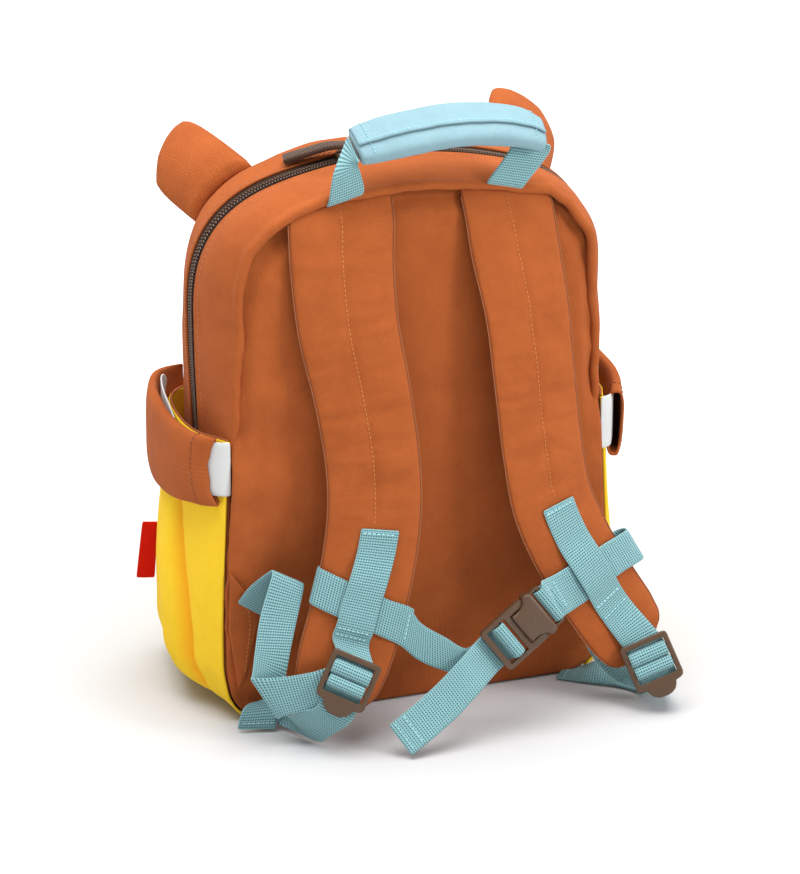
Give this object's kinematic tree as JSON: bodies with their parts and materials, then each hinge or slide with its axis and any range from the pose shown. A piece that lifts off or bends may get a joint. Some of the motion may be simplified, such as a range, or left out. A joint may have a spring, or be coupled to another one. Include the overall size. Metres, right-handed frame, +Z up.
{
  "type": "kids backpack",
  "caption": "Small child's backpack in woven cloth with ears, side pockets, padded shoulder straps, buckled chest strap and carry handle; it stores and carries things on the back.",
  "frame": {"origin": "on the floor under the middle of the base", "axes": "+X to the right seen from the harness side, +Y to the bag's front, away from the harness, +Z up"},
  "size_m": [0.2603, 0.1974, 0.3242],
  "materials": {
    "brown_cloth": "woven, matt",
    "yellow_cloth": "woven, matt",
    "light_blue_cloth": "woven, matt",
    "teal_webbing": "ribbed webbing",
    "zip_tape": "coil zip and ribbed pull",
    "white_elastic": "knitted elastic",
    "red_tag_cloth": "smooth woven tape",
    "brown_plastic": "moulded, satin"
  },
  "bodies": {
    "root": {"back_panel": "brown_cloth", "front_panel": "brown_cloth", "base_panel": "brown_cloth", "gusset_rear": "brown_cloth", "zipper_tape": "zip_tape", "gusset_front": "brown_cloth", "side_panel_left": "brown_cloth", "side_panel_right": "brown_cloth", "pocket_left": "yellow_cloth", "pocket_front": "yellow_cloth", "pocket_right": "yellow_cloth", "ear_left": "brown_cloth", "ear_right": "brown_cloth", "shoulder_strap_left": "brown_cloth", "shoulder_strap_right": "brown_cloth", "ladder_lock_left": "brown_plastic", "ladder_lock_right": "brown_plastic", "buckle_plug": "brown_plastic", "buckle_socket": "brown_plastic", "strap_webbing_left": "teal_webbing", "strap_webbing_right": "teal_webbing", "chest_strap_left": "teal_webbing", "chest_strap_right": "teal_webbing", "corner_wing_left": "brown_cloth", "corner_wing_right": "brown_cloth", "lower_webbing_left": "teal_webbing", "lower_webbing_right": "teal_webbing", "handle_grip": "light_blue_cloth", "handle_webbing_left": "teal_webbing", "handle_webbing_right": "teal_webbing", "arm_left": "brown_cloth", "arm_right": "brown_cloth", "arm_elastic_left": "white_elastic", "arm_elastic_right": "white_elastic", "zip_slider": "brown_plastic", "zip_pull": "zip_tape", "side_tag": "red_tag_cloth"}
  },
  "joints": []
}
